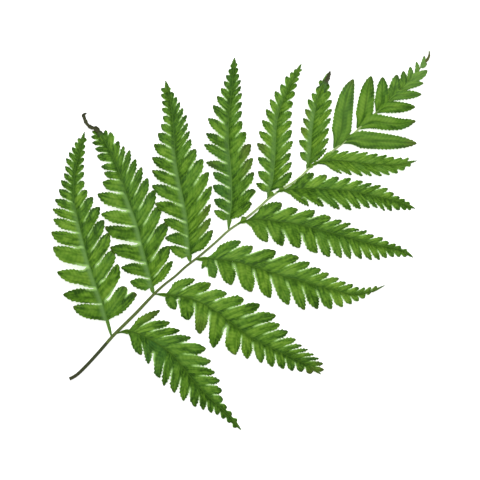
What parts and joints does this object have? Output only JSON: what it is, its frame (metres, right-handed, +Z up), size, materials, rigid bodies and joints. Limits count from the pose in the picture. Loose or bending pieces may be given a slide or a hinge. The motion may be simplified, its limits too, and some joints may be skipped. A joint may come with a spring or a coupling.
{
  "type": "bracken frond",
  "caption": "Cut fern frond lying flat: a thin bare stalk, paired feather-shaped side branches cut into toothed leaflets, and a narrow tapering top.",
  "frame": {"origin": "middle of the frond's bounding box in plan, at the level of the surface it lies on", "axes": "+Y along the stalk from the cut end to the tip, +Z up off the surface, +X to the right when seen from above with the tip up"},
  "size_m": [0.353, 0.4881, 0.0086],
  "materials": {
    "stipe": "satin olive-brown stalk",
    "blade": "satin green leaf"
  },
  "bodies": {
    "root": {"stipe": "stipe", "blade": "blade"}
  },
  "joints": []
}
